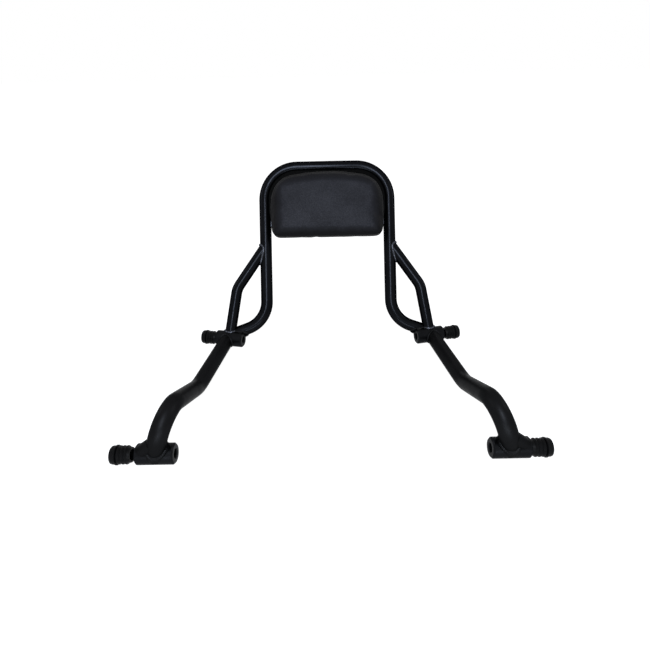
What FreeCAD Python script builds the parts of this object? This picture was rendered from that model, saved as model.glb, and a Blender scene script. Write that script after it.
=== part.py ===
import FreeCAD, Part
import math
import os
import Sketcher

# Motorcycle passenger backrest: a bent hoop with a cushion, two struts and two
# long cranked arms, each ending in a bolt boss that stands on the floor.
# Frame: +X to the viewer's right, +Y to the rear, +Z up, floor at Z = 0.
# "left" is the -X side and "right" the +X side.

os.makedirs("parts", exist_ok=True)
doc = FreeCAD.newDocument("Backrest")

LEFT = -1
RIGHT = 1
SIDES = (("left", LEFT), ("right", RIGHT))

# Sizes in millimetres and degrees. Y values are counted from the front bosses
# before the whole part is centred.
SIZES = [
    ("hoop_dia", 22.0, "outside diameter of the hoop tube"),
    ("hoop_wall", 2.0, "wall of the hoop tube"),
    ("hoop_spread", 231.0, "distance between the two leg centre-lines"),
    ("hoop_lean", 31.5, "lean of the hoop plane to the rear, degrees"),
    ("hoop_rise", 286.0, "leg length from the knee point to the top centre-line"),
    ("hoop_corner", 60.5, "bend radius of the two top corners"),
    ("knee_radius", 53.0, "bend radius where a leg turns outward"),
    ("knee_y", 302.5, "knee point, to the rear"),
    ("knee_z", 35.0, "knee point, height"),
    ("leg_end_behind", 11.0, "leg end, distance behind the rear boss axis"),
    ("leg_end_above", 2.5, "leg end, height over the rear boss axis"),
    ("leg_end_inward", 2.0, "leg end, distance inward along the rear boss"),
    ("leg_end_wall", 7.0, "solid length of tube at each leg end"),
    ("leg_end_bevel", 4.0, "bevel around each leg end"),
    ("strut_dia", 20.0, "outside diameter of the strut tube"),
    ("strut_wall", 2.0, "wall of the strut tube"),
    ("strut_top", 140.5, "strut joint on the leg, measured up from the knee point"),
    ("strut_bend_out", 53.5, "strut bend point, outward from the leg"),
    ("strut_bend_y", 328.0, "strut bend point, to the rear"),
    ("strut_bend_z", 91.0, "strut bend point, height"),
    ("strut_radius", 41.0, "bend radius of the strut"),
    ("strut_foot_outward", 2.0, "strut foot, distance outward along the rear boss"),
    ("strut_foot_behind", 2.0, "strut foot, distance behind the rear boss axis"),
    ("arm_dia", 25.0, "outside diameter of the arm tube"),
    ("arm_wall", 2.5, "wall of the arm tube"),
    ("arm_start_outward", 5.0, "arm start, distance outward along the rear boss"),
    ("arm_low_x", 209.0, "lower arm bend point, sideways"),
    ("arm_low_y", 138.0, "lower arm bend point, to the rear"),
    ("arm_high_x", 207.0, "upper arm bend point, sideways"),
    ("arm_high_y", -19.0, "upper arm bend point, to the rear"),
    ("arm_high_z", 98.0, "upper arm bend point, height"),
    ("arm_low_radius", 60.0, "radius of the lower arm bend"),
    ("arm_high_radius", 34.0, "radius of the upper arm bend"),
    ("boss_dia", 28.0, "outside diameter of the bolt bosses"),
    ("boss_length", 50.0, "length of the bolt bosses"),
    ("boss_hole", 12.0, "bolt hole at the inner end"),
    ("boss_wall", 2.25, "wall around the pocket for the bolt head"),
    ("boss_pocket_depth", 33.0, "depth of that pocket, open at the outer end"),
    ("boss_edge", 2.0, "bevel around both ends of a boss"),
    ("hole_edge", 1.25, "bevel around the bolt hole"),
    ("front_x", 230.0, "middle of a front boss, sideways"),
    ("rear_x", 182.5, "middle of a rear boss, sideways"),
    ("rear_y", 277.5, "middle of a rear boss, to the rear"),
    ("rear_yaw", 11.0, "turn of the rear boss axis to the rear, degrees"),
    ("plug_length", 27.0, "length of a rubber plug"),
    ("plug_gap_front_left", 7.0, "gap between that plug and its boss"),
    ("plug_gap_front_right", 1.5, "gap between that plug and its boss"),
    ("plug_gap_rear_left", 1.5, "gap between that plug and its boss"),
    ("plug_gap_rear_right", 4.5, "gap between that plug and its boss"),
    ("plug_head_dia", 26.4, "flange of the plug head"),
    ("plug_head_length", 9.0, "length of the plug head"),
    ("plug_crown_dia", 20.0, "flat outer face of the plug head"),
    ("plug_rib_dia", 24.6, "crest of the plug ribs"),
    ("plug_root_dia", 21.4, "root between the plug ribs"),
    ("plug_nose_dia", 19.6, "tip of the plug nose"),
    ("plug_nose_length", 3.0, "tapered nose ahead of the ribs"),
    ("plug_hollow_dia", 15.6, "hollow in the plug, open at the nose"),
    ("plug_hollow_depth", 20.0, "depth of that hollow"),
    ("bead_front", 2.6, "radius of the weld bead at the front bosses"),
    ("flare_dia", 19.0, "diameter of the weld flare outside a front arm end"),
    ("flare_reach", 25.0, "flare foot, distance outward along the front boss"),
    ("flare_rise", 30.0, "flare head, distance up the arm from the boss axis"),
    ("bead_rear", 3.0, "radius of the weld beads at the rear bosses"),
    ("bead_strut", 2.6, "radius of the weld bead at the strut top"),
    ("bead_plate", 1.8, "radius of the weld bead beside the pad plate"),
    ("pad_side_gap", 2.0, "gap between the cushion and a leg"),
    ("pad_height", 118.5, "height of the cushion in the middle"),
    ("pad_drop", 15.0, "top of the cushion, down from the top centre-line"),
    ("pad_top_arc", 330.0, "radius of the arched top edge"),
    ("pad_top_corner", 46.0, "radius of the upper cushion corners"),
    ("pad_foot_corner", 15.0, "radius of the lower cushion corners"),
    ("pad_depth", 31.0, "thickness of the cushion"),
    ("pad_front_edge", 13.0, "rounding of the cushion front edge"),
    ("pad_back_edge", 3.0, "rounding of the cushion back edge"),
    ("board_inset", 7.0, "board edge inside the cushion edge"),
    ("board_thickness", 6.0, "thickness of the base board"),
    ("plate_thickness", 3.0, "thickness of the pad plate"),
    ("plate_height", 46.0, "height of the pad plate"),
    ("plate_drop", 13.75, "middle of the pad plate, down from the cushion middle"),
    ("screw_spacing_x", 110.0, "screw rows, centre to centre sideways"),
    ("screw_spacing_y", 26.0, "screw rows, centre to centre up the plate"),
    ("screw_dia", 6.0, "screw shank"),
    ("screw_hole", 6.4, "screw hole in the plate"),
    ("screw_head_dia", 10.5, "screw head"),
    ("screw_head_height", 3.3, "height of the screw head"),
    ("screw_socket", 4.0, "hexagon socket, across the flats"),
    ("screw_socket_depth", 2.0, "depth of the socket"),
    ("screw_depth", 5.0, "thread length inside the board"),
]

sheet = doc.addObject("Spreadsheet::Sheet", "Size")
for row, (alias, number, meaning) in enumerate(SIZES, 1):
    sheet.set("A%d" % row, meaning)
    sheet.set("B%d" % row, str(number))
    sheet.setAlias("B%d" % row, alias)
doc.recompute()


def value(expression):
    """Number that an expression over the sheet gives now."""
    result = sheet.evalExpression(expression)
    return float(getattr(result, "Value", result))


def size(alias):
    return float(sheet.get(alias))


def vector(x, y, z):
    return FreeCAD.Vector(x, y, z)


# Centre-lines of the bent tubes.

def bent_path(points, radii):
    """Straight runs through the points, joined by arcs of the given radii."""
    edges = []
    start = points[0]
    for index, radius in enumerate(radii, 1):
        corner = points[index]
        before = (corner - points[index - 1]).normalize()
        after = (points[index + 1] - corner).normalize()
        turn = before.getAngle(after)
        reach = radius * math.tan(turn / 2)
        depth = radius / math.cos(turn / 2) - radius
        arc_start = corner - before * reach
        arc_end = corner + after * reach
        arc_middle = corner + (after - before).normalize() * depth
        edges.append(Part.LineSegment(start, arc_start).toShape())
        edges.append(Part.Arc(arc_start, arc_middle, arc_end).toShape())
        start = arc_end
    edges.append(Part.LineSegment(start, points[-1]).toShape())
    return Part.Wire(edges)


lean = math.radians(size("hoop_lean"))
yaw = math.radians(size("rear_yaw"))
up_leg = vector(0, math.sin(lean), math.cos(lean))
boss_height = size("boss_dia") / 2
arm_radii = [size("arm_low_radius"), size("arm_high_radius")]


def rear_outward(side):
    return vector(side * math.cos(yaw), math.sin(yaw), 0)


def front_outward(side):
    return vector(side, 0, 0)


def arm_points(side, middle):
    """Bend points of an arm, from the rear boss to the front boss."""
    rear = vector(side * size("rear_x"), size("rear_y"), boss_height)
    low = vector(side * size("arm_low_x"), size("arm_low_y"), boss_height)
    high = vector(side * size("arm_high_x"), size("arm_high_y"), size("arm_high_z"))
    front = vector(side * size("front_x"), 0, boss_height)
    start = rear + rear_outward(side) * size("arm_start_outward")
    return [point - middle for point in (start, low, high, front)]


# The part is centred over the floor: sideways between the ends of the front plugs,
# front to rear between the foremost point of an arm and the rearmost of the hoop.
arm_trace = bent_path(arm_points(RIGHT, vector(0, 0, 0)), arm_radii).discretize(2000)
foremost = min(point.y for point in arm_trace) - size("arm_dia") / 2
rearmost = size("knee_y") + size("hoop_rise") * math.sin(lean) + size("hoop_dia") / 2
plugs_off_middle = (size("plug_gap_front_right") - size("plug_gap_front_left")) / 2
middle = vector(plugs_off_middle, (foremost + rearmost) / 2, 0)


def rear_centre(side):
    return vector(side * size("rear_x"), size("rear_y"), boss_height) - middle


def front_centre(side):
    return vector(side * size("front_x"), 0, boss_height) - middle


def knee(side):
    return vector(side * size("hoop_spread") / 2, size("knee_y"), size("knee_z")) - middle


def leg_end(side):
    inward = rear_outward(side) * -size("leg_end_inward")
    lift = vector(0, size("leg_end_behind"), size("leg_end_above"))
    return rear_centre(side) + inward + lift


def strut_points(side):
    """Joint on the leg, bend point and foot on the rear boss."""
    joint = knee(side) + up_leg * size("strut_top")
    bend_x = size("hoop_spread") / 2 + size("strut_bend_out")
    bend = vector(side * bend_x, size("strut_bend_y"), size("strut_bend_z")) - middle
    foot = rear_centre(side) + rear_outward(side) * size("strut_foot_outward")
    return [joint, bend, foot + vector(0, size("strut_foot_behind"), 0)]


def toward(start, end):
    return (end - start).normalize()


def facing(direction):
    """Rotation that turns +Z to the direction."""
    return FreeCAD.Rotation(vector(0, 0, 1), direction)


# Solids shared by tubes and welds.

def swept_solid(name, path, radius_expression):
    """Round solid along a path, its radius bound to the sheet."""
    spine = doc.addObject("Part::Feature", name + "_path")
    spine.Shape = path
    first = path.Edges[0]
    ring = doc.addObject("Part::Circle", name + "_ring")
    ring.setExpression("Radius", radius_expression)
    start = first.valueAt(first.FirstParameter)
    heading = first.tangentAt(first.FirstParameter)
    ring.Placement = FreeCAD.Placement(start, facing(heading))
    sweep = doc.addObject("Part::Sweep", name)
    sweep.Sections = [ring]
    sweep.Spine = (spine, ["Edge%d" % (n + 1) for n in range(len(path.Edges))])
    sweep.Solid = True
    sweep.Frenet = False
    return sweep


def round_bar(name, start, direction, radius_expression, length_expression):
    """Cylinder from a point along a direction."""
    bar = doc.addObject("Part::Cylinder", name)
    bar.setExpression("Radius", radius_expression)
    bar.setExpression("Height", length_expression)
    bar.Placement = FreeCAD.Placement(start, facing(direction))
    return bar


def cut(name, base, tool):
    result = doc.addObject("Part::Cut", name)
    result.Base = base
    result.Tool = tool
    return result


def cut_each(name, base, tools):
    """Cut the base by one tool after another."""
    for number, tool in enumerate(tools, 1):
        base = cut("%s_%d" % (name, number), base, tool)
    return base


def fuse(name, shapes):
    result = doc.addObject("Part::MultiFuse", name)
    result.Shapes = shapes
    return result


def common(name, shapes):
    result = doc.addObject("Part::MultiCommon", name)
    result.Shapes = shapes
    return result


finished = []


def finish(label, feature):
    """Name a sub-part and keep it for the files."""
    feature.Label = label
    finished.append((label, feature))


# Bodies drawn as sketches on their own origin planes.

def new_body(name, placement):
    body = doc.addObject("PartDesign::Body", name)
    body.Placement = placement
    return body


def plane_of(body, role):
    return [item for item in body.Origin.OriginFeatures if item.Role == role][0]


def new_sketch(body, role, offset="0"):
    sketch = body.newObject("Sketcher::SketchObject", body.Name + "_sketch")
    sketch.AttachmentSupport = (plane_of(body, role), [""])
    sketch.MapMode = "FlatFace"
    if offset != "0":
        sketch.setExpression("AttachmentOffset.Base.z", offset)
    return sketch


def draw_profile(sketch, corners):
    """Closed outline of straight lines through corners given as expressions."""
    numbers = [vector(value(x), value(y), 0) for x, y in corners]
    for index, start in enumerate(numbers):
        end = numbers[(index + 1) % len(numbers)]
        sketch.addGeometry(Part.LineSegment(start, end), False)
    for index in range(len(corners)):
        following = (index + 1) % len(corners)
        sketch.addConstraint(Sketcher.Constraint("Coincident", index, 2, following, 1))
    for index, (x, y) in enumerate(corners):
        place_point(sketch, index, 1, x, y)


def place_point(sketch, geometry, end, x, y):
    """Hold a sketch point at coordinates given as expressions."""
    for kind, expression in (("DistanceX", x), ("DistanceY", y)):
        number = sketch.addConstraint(
            Sketcher.Constraint(kind, -1, 1, geometry, end, value(expression)))
        if "Size" in expression:
            sketch.setExpression("Constraints[%d]" % number, expression)


def draw_circle(sketch, x, y, radius):
    index = sketch.addGeometry(
        Part.Circle(vector(value(x), value(y), 0), vector(0, 0, 1), value(radius)), False)
    place_point(sketch, index, 3, x, y)
    number = sketch.addConstraint(Sketcher.Constraint("Radius", index, value(radius)))
    sketch.setExpression("Constraints[%d]" % number, radius)


def revolve(body, corners):
    """Turned part: corners are (radius, distance along +Z)."""
    sketch = new_sketch(body, "XZ_Plane")
    draw_profile(sketch, corners)
    turned = body.newObject("PartDesign::Revolution", body.Name + "_turned")
    turned.Profile = sketch
    turned.ReferenceAxis = (sketch, ["V_Axis"])
    turned.Angle = 360
    sketch.Visibility = False
    return turned


def extrude(body, sketch, length):
    pad = body.newObject("PartDesign::Pad", body.Name + "_pad")
    pad.Profile = sketch
    pad.setExpression("Length", length)
    return pad


# Bolt bosses: turned, bolt hole at the inner end, pocket at the outer end.

def make_boss(label, centre, outward):
    start = centre - outward * (size("boss_length") / 2)
    body = new_body("Body_" + label, FreeCAD.Placement(start, facing(outward)))
    pocket = "Size.boss_dia / 2 - Size.boss_wall"
    shoulder = "Size.boss_length - Size.boss_pocket_depth"
    revolve(body, [
        ("Size.boss_hole / 2 + Size.hole_edge", "0"),
        ("Size.boss_dia / 2 - Size.boss_edge", "0"),
        ("Size.boss_dia / 2", "Size.boss_edge"),
        ("Size.boss_dia / 2", "Size.boss_length - Size.boss_edge / 2"),
        ("Size.boss_dia / 2 - Size.boss_edge / 2", "Size.boss_length"),
        (pocket + " + Size.boss_edge / 4", "Size.boss_length"),
        (pocket, "Size.boss_length - Size.boss_edge / 2"),
        (pocket, shoulder),
        ("Size.boss_hole / 2", shoulder),
        ("Size.boss_hole / 2", "Size.hole_edge"),
    ])
    finish(label, body)


# Rubber plugs: domed head with a flange, three ribs, tapered hollow nose.

def make_plug(label, centre, outward):
    gap = size("plug_gap_" + label.replace("plug_", ""))
    start = centre + outward * (size("boss_length") / 2 + gap)
    start.z = size("plug_head_dia") / 2
    body = new_body("Body_" + label, FreeCAD.Placement(start, facing(outward)))
    flange = "Size.plug_length - Size.plug_head_length"
    pitch = "(Size.plug_length - Size.plug_head_length - Size.plug_nose_length) / 3"
    corners = [
        ("Size.plug_hollow_dia / 2", "0"),
        ("Size.plug_nose_dia / 2", "0"),
        ("Size.plug_root_dia / 2", "Size.plug_nose_length"),
    ]
    for rib in range(3):
        base = "Size.plug_nose_length + %s * %d" % (pitch, rib)
        corners.append(("Size.plug_rib_dia / 2", "%s + %s * 0.45" % (base, pitch)))
        corners.append(("Size.plug_rib_dia / 2", "%s + %s * 0.65" % (base, pitch)))
        corners.append(("Size.plug_root_dia / 2", "%s + %s" % (base, pitch)))
    corners += [
        ("Size.plug_head_dia / 2", flange + " + Size.plug_head_length * 0.07"),
        ("Size.plug_head_dia / 2", flange + " + Size.plug_head_length * 0.24"),
        ("Size.plug_head_dia * 0.466", flange + " + Size.plug_head_length * 0.33"),
        ("Size.plug_head_dia * 0.462", "Size.plug_length - Size.plug_head_length * 0.27"),
        ("(Size.plug_head_dia + Size.plug_crown_dia) / 4",
         "Size.plug_length - Size.plug_head_length * 0.08"),
        ("Size.plug_crown_dia / 2", "Size.plug_length"),
        ("0", "Size.plug_length"),
        ("0", "Size.plug_hollow_depth"),
        ("Size.plug_hollow_dia * 0.436", "Size.plug_hollow_depth"),
    ]
    revolve(body, corners)
    finish(label, body)


for side_name, side in SIDES:
    make_boss("boss_front_" + side_name, front_centre(side), front_outward(side))
    make_boss("boss_rear_" + side_name, rear_centre(side), rear_outward(side))
    make_plug("plug_front_" + side_name, front_centre(side), front_outward(side))
    make_plug("plug_rear_" + side_name, rear_centre(side), rear_outward(side))

# Plain round cores of the bosses: the tube ends are coped over them.

boss_core = {}
for side_name, side in SIDES:
    half = size("boss_length") / 2
    for place, centre, outward in (
            ("front", front_centre(side), front_outward(side)),
            ("rear", rear_centre(side), rear_outward(side))):
        core_name = "core_%s_%s" % (place, side_name)
        boss_core[place, side] = round_bar(
            core_name, centre - outward * half, outward,
            "Size.boss_dia / 2", "Size.boss_length")

# Hoop: one tube with two top corners and two knees, closed ends behind the bosses.

half_spread = size("hoop_spread") / 2


def hoop_points(end_short):
    """Bend points of the hoop, its ends shortened by a length."""
    points = []
    for side in (LEFT, RIGHT):
        run = toward(leg_end(side), knee(side))
        ends = [leg_end(side) + run * end_short, knee(side)]
        ends.append(knee(side) + up_leg * size("hoop_rise"))
        points += ends if side == LEFT else ends[::-1]
    return points


hoop_radii = [size("knee_radius"), size("hoop_corner"), size("hoop_corner"), size("knee_radius")]
hoop_outer = swept_solid("hoop_outer", bent_path(hoop_points(0.0), hoop_radii), "Size.hoop_dia / 2")
hoop_bore = swept_solid(
    "hoop_bore", bent_path(hoop_points(size("leg_end_wall")), hoop_radii),
    "Size.hoop_dia / 2 - Size.hoop_wall")


def on_leg_end(edge):
    """True for the round edge of a flat leg end."""
    if not isinstance(edge.Curve, Part.Circle):
        return False
    centre = edge.Curve.Center
    return min(centre.distanceToPoint(leg_end(side)) for side in (LEFT, RIGHT)) < 0.01


strut_outer = {}
strut_foot = {}
leg_run = {}
arm_outer = {}
for side_name, side in SIDES:
    joint, bend, foot = strut_points(side)
    strut_path = bent_path([joint, bend, foot], [size("strut_radius")])
    strut_outer[side] = swept_solid("strut_outer_" + side_name, strut_path, "Size.strut_dia / 2")
    strut_foot[side] = round_bar(
        "strut_foot_" + side_name, foot, toward(foot, bend),
        "Size.strut_dia / 2", "Size.boss_dia * 1.7")
    leg_run[side] = round_bar(
        "leg_run_" + side_name, joint - up_leg * size("boss_dia") * 2, up_leg,
        "Size.hoop_dia / 2", "Size.boss_dia * 4")
    arm_path = bent_path(arm_points(side, middle), arm_radii)
    arm_outer[side] = swept_solid("arm_outer_" + side_name, arm_path, "Size.arm_dia / 2")
    arm_bore = swept_solid(
        "arm_bore_" + side_name, arm_path, "Size.arm_dia / 2 - Size.arm_wall")
    strut_bore = swept_solid(
        "strut_bore_" + side_name, strut_path, "Size.strut_dia / 2 - Size.strut_wall")

    # Coped strut: saddle over the leg at the top and over the rear boss below.
    strut_tube = cut("strut_tube_" + side_name, strut_outer[side], strut_bore)
    strut_hosts = fuse("strut_hosts_" + side_name, [leg_run[side], boss_core["rear", side]])
    finish("strut_" + side_name, cut("strut_coped_" + side_name, strut_tube, strut_hosts))

doc.recompute()
hoop_body = doc.addObject("Part::Chamfer", "hoop_body")
hoop_body.Base = hoop_outer
hoop_body.Edges = [
    (number, size("leg_end_bevel"), size("leg_end_bevel"))
    for number, edge in enumerate(hoop_outer.Shape.Edges, 1) if on_leg_end(edge)]
hoop_closed = cut("hoop_closed", hoop_body, hoop_bore)
hoop_hosts = fuse("hoop_hosts", [
    boss_core["rear", LEFT], boss_core["rear", RIGHT], strut_foot[LEFT], strut_foot[RIGHT]])
finish("hoop_tube", cut("hoop_coped", hoop_closed, hoop_hosts))

for side_name, side in SIDES:
    # Coped arm: saddle over both bosses, notched where the strut stands in its way.
    arm_tube = cut("arm_tube_" + side_name, arm_outer[side],
                   doc.getObject("arm_bore_" + side_name))
    arm_hosts = fuse("arm_hosts_" + side_name, [
        boss_core["rear", side], boss_core["front", side], strut_foot[side]])
    finish("arm_" + side_name, cut("arm_coped_" + side_name, arm_tube, arm_hosts))


# Weld beads: the space within a bead width of both the tube and its host, with the
# outer edge bevelled, cut back to the part that stands outside all the tubes.

def weld_zone(name, tube, host, bead, bevelled=True):
    """Bevelled space around a joint; tube and host are (start, direction, radius, length)."""
    bars = []
    for role, (start, direction, radius, length) in (("tube", tube), ("host", host)):
        wide = "%s + %s" % (radius, bead)
        bars.append(round_bar("%s_%s" % (name, role), start, direction, wide, length))
    zone = common(name + "_zone", bars)
    if not bevelled:
        return zone
    doc.recompute()
    bevel = doc.addObject("Part::Chamfer", name)
    bevel.Base = zone
    width = value(bead) * 0.75
    bevel.Edges = [
        (number, width, width) for number, edge in enumerate(zone.Shape.Edges, 1)
        if isinstance(edge.Curve, Part.BSplineCurve)]
    return bevel


# Slab under the floor: no bead hangs below the bosses.
under_floor = doc.addObject("Part::Box", "under_floor")
under_floor.setExpression("Length", "Size.front_x * 3")
under_floor.setExpression("Width", "Size.front_x * 3")
under_floor.setExpression("Height", "Size.boss_dia")
under_floor.Placement.Base = vector(
    -1.5 * size("front_x"), -1.5 * size("front_x"), -size("boss_dia"))

strut_r = "Size.strut_dia / 2"
arm_r = "Size.arm_dia / 2"
boss_r = "Size.boss_dia / 2"
hoop_r = "Size.hoop_dia / 2"
inside_boss = "Size.boss_length - 2 * Size.boss_edge"
reach = "Size.boss_dia * 2"

for side_name, side in SIDES:
    joint, bend, foot = strut_points(side)
    start, low, high, front = arm_points(side, middle)
    host_start = value(inside_boss) / 2
    front_host = (
        front_centre(side) - front_outward(side) * host_start, front_outward(side),
        boss_r, inside_boss)
    rear_host = (
        rear_centre(side) - rear_outward(side) * host_start, rear_outward(side),
        boss_r, inside_boss)
    leg_host = (joint - up_leg * size("boss_dia") * 2, up_leg, hoop_r, "Size.boss_dia * 4")

    front_zone = weld_zone(
        "front_bead_" + side_name, (front, toward(front, high), arm_r, reach),
        front_host, "Size.bead_front", bevelled=False)
    # Flare of weld metal that widens the outer side of the arm end.
    flare_head = front + toward(front, high) * size("flare_rise")
    flare_foot = front + front_outward(side) * size("flare_reach")
    flare_bar = round_bar(
        "flare_bar_" + side_name, flare_foot, toward(flare_foot, flare_head),
        "Size.flare_dia / 2", "sqrt(Size.flare_rise ^ 2 + Size.flare_reach ^ 2)")
    flare_room = round_bar(
        "flare_room_" + side_name, front_host[0], front_host[1],
        "Size.boss_dia", inside_boss)
    flare = common("flare_" + side_name, [flare_bar, flare_room])
    front_metal = fuse("front_metal_" + side_name, [front_zone, flare])
    finish("weld_front_" + side_name, cut_each(
        "front_weld_" + side_name, front_metal, [arm_outer[side], boss_core["front", side]]))

    top_zone = weld_zone(
        "top_bead_" + side_name, (joint, toward(joint, bend), strut_r, reach),
        leg_host, "Size.bead_strut")
    top_solids = fuse("top_solids_" + side_name, [strut_outer[side], leg_run[side]])
    finish("weld_strut_" + side_name, cut("top_weld_" + side_name, top_zone, top_solids))

    foot_zone = weld_zone(
        "foot_bead_" + side_name, (foot, toward(foot, bend), strut_r, reach),
        rear_host, "Size.bead_rear", bevelled=False)
    arm_zone = weld_zone(
        "arm_bead_" + side_name, (start, toward(start, low), arm_r, reach),
        rear_host, "Size.bead_rear", bevelled=False)
    leg_zone = weld_zone(
        "leg_bead_" + side_name,
        (leg_end(side), toward(leg_end(side), knee(side)), hoop_r, reach),
        rear_host, "Size.bead_rear", bevelled=False)
    rear_beads = fuse("rear_beads_" + side_name, [foot_zone, arm_zone, leg_zone])
    finish("weld_rear_" + side_name, cut_each("rear_weld_" + side_name, rear_beads, [
        boss_core["rear", side], strut_outer[side], arm_outer[side], hoop_body, under_floor]))

# Cushion, base board and plate, drawn in the leaning plane of the hoop:
# local X sideways, local Y up the legs, local Z to the front.

hoop_top = (knee(LEFT) + knee(RIGHT)) * 0.5 + up_leg * size("hoop_rise")
pad_centre = hoop_top - up_leg * (size("pad_drop") + size("pad_height") / 2)
pad_frame = FreeCAD.Placement(
    pad_centre, FreeCAD.Rotation(vector(1, 0, 0), 90 - size("hoop_lean")))


def draw_outline(sketch, inset):
    """Cushion outline, inset by a length: arched top, large upper and small lower corners."""
    half = "(Size.hoop_spread / 2 - Size.hoop_dia / 2 - Size.pad_side_gap - %s)" % inset
    top = "(Size.pad_height / 2 - %s)" % inset
    arch = "(Size.pad_top_arc - %s)" % inset
    upper = "(Size.pad_top_corner - %s)" % inset
    lower = "(Size.pad_foot_corner - %s)" % inset
    w, h, ra, ru, rl = [value(item) for item in (half, top, arch, upper, lower)]
    upper_x = w - ru
    upper_y = h - ra + math.sqrt((ra - ru) ** 2 - upper_x ** 2)
    tilt = math.atan2(upper_y - h + ra, upper_x)

    def add_arc(x, y, radius, start, end):
        circle = Part.Circle(vector(x, y, 0), vector(0, 0, 1), radius)
        sketch.addGeometry(Part.ArcOfCircle(circle, start, end), False)

    def add_line(x1, y1, x2, y2):
        sketch.addGeometry(Part.LineSegment(vector(x1, y1, 0), vector(x2, y2, 0)), False)

    add_line(w, rl - h, w, upper_y)
    add_arc(upper_x, upper_y, ru, 0, tilt)
    add_arc(0, h - ra, ra, tilt, math.pi - tilt)
    add_arc(-upper_x, upper_y, ru, math.pi - tilt, math.pi)
    add_line(-w, upper_y, -w, rl - h)
    add_arc(rl - w, rl - h, rl, math.pi, math.pi * 1.5)
    add_line(rl - w, -h, w - rl, -h)
    add_arc(w - rl, rl - h, rl, math.pi * 1.5, math.pi * 2)
    for index in range(8):
        sketch.addConstraint(Sketcher.Constraint("Tangent", index, 2, (index + 1) % 8, 1))
    sketch.addConstraint(Sketcher.Constraint("Vertical", 0))
    sketch.addConstraint(Sketcher.Constraint("Vertical", 4))
    sketch.addConstraint(Sketcher.Constraint("Horizontal", 6))
    sketch.addConstraint(Sketcher.Constraint("PointOnObject", 2, 3, -2))
    held = [
        (("Radius", 1, ru), upper), (("Radius", 3, ru), upper), (("Radius", 2, ra), arch),
        (("Radius", 5, rl), lower), (("Radius", 7, rl), lower),
        (("DistanceX", -1, 1, 0, 1, w), half), (("DistanceX", -1, 1, 4, 1, -w), "-" + half),
        (("DistanceY", -1, 1, 6, 1, -h), "-" + top),
        (("DistanceY", -1, 1, 2, 3, h - ra), "%s - %s" % (top, arch)),
    ]
    for parts, expression in held:
        number = sketch.addConstraint(Sketcher.Constraint(*parts))
        sketch.setExpression("Constraints[%d]" % number, expression)


def edges_at(feature, height):
    """Names of the edges that lie wholly at one local height."""
    names = []
    for number, edge in enumerate(feature.Shape.Edges, 1):
        box = edge.BoundBox
        if abs(box.ZMin - height) < 0.01 and abs(box.ZMax - height) < 0.01:
            names.append("Edge%d" % number)
    return names


def round_edges(body, name, base, height, radius):
    doc.recompute()
    rounding = body.newObject("PartDesign::Fillet", name)
    rounding.Base = (base, edges_at(base, height))
    rounding.setExpression("Radius", radius)
    return rounding


SCREW_SPOTS = [
    (x + "Size.screw_spacing_x / 2", y + "Size.screw_spacing_y / 2 - Size.plate_drop")
    for x in ("-", "") for y in ("-", "")]


def screw_circles(sketch, radius):
    for x, y in SCREW_SPOTS:
        draw_circle(sketch, x, y, radius)


# Cushion.
plate_front = "Size.plate_thickness / 2"
board_front = "Size.plate_thickness / 2 + Size.board_thickness"
cushion = new_body("Body_cushion", pad_frame)
outline = new_sketch(cushion, "XY_Plane", board_front)
draw_outline(outline, "0")
block = extrude(cushion, outline, "Size.pad_depth")
face_height = value(board_front + " + Size.pad_depth")
front_round = round_edges(cushion, "cushion_front", block, face_height, "Size.pad_front_edge")
round_edges(cushion, "cushion_back", front_round, value(board_front), "Size.pad_back_edge")
finish("pad_cushion", cushion)

# Base board behind the cushion, with the holes that take the screws.
board = new_body("Body_board", pad_frame)
board_outline = new_sketch(board, "XY_Plane", plate_front)
draw_outline(board_outline, "Size.board_inset")
extrude(board, board_outline, "Size.board_thickness")
board_holes = new_sketch(board, "XY_Plane", plate_front)
screw_circles(board_holes, "Size.screw_dia / 2")
drilled = board.newObject("PartDesign::Pocket", "board_drilled")
drilled.Profile = board_holes
drilled.Reversed = True
drilled.setExpression("Length", "Size.screw_depth * 1.1")
finish("pad_board", board)

# Plate across the hoop, its ends coped over the legs.
plate = new_body("Body_plate", pad_frame)
plate_outline = new_sketch(plate, "XY_Plane", "-" + plate_front)
plate_foot = "-Size.plate_height / 2 - Size.plate_drop"
plate_head = "Size.plate_height / 2 - Size.plate_drop"
draw_profile(plate_outline, [
    ("-Size.hoop_spread / 2", plate_foot),
    ("Size.hoop_spread / 2", plate_foot),
    ("Size.hoop_spread / 2", plate_head),
    ("-Size.hoop_spread / 2", plate_head),
])
extrude(plate, plate_outline, "Size.plate_thickness")
plate_holes = new_sketch(plate, "XY_Plane", plate_front)
screw_circles(plate_holes, "Size.screw_hole / 2")
plate_drilled = plate.newObject("PartDesign::Pocket", "plate_drilled")
plate_drilled.Profile = plate_holes
plate_drilled.setExpression("Length", "Size.plate_thickness")

leg_bar = {}
plate_centre = pad_centre - up_leg * size("plate_drop")
for side_name, side in SIDES:
    start = plate_centre + vector(side * half_spread, 0, 0) - up_leg * size("plate_height")
    leg_bar[side] = round_bar(
        "leg_bar_" + side_name, start, up_leg, hoop_r, "Size.plate_height * 2")
leg_bars = fuse("leg_bars", [leg_bar[LEFT], leg_bar[RIGHT]])
plate_coped = cut("plate_coped", plate, leg_bars)
finish("pad_plate", plate_coped)

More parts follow.
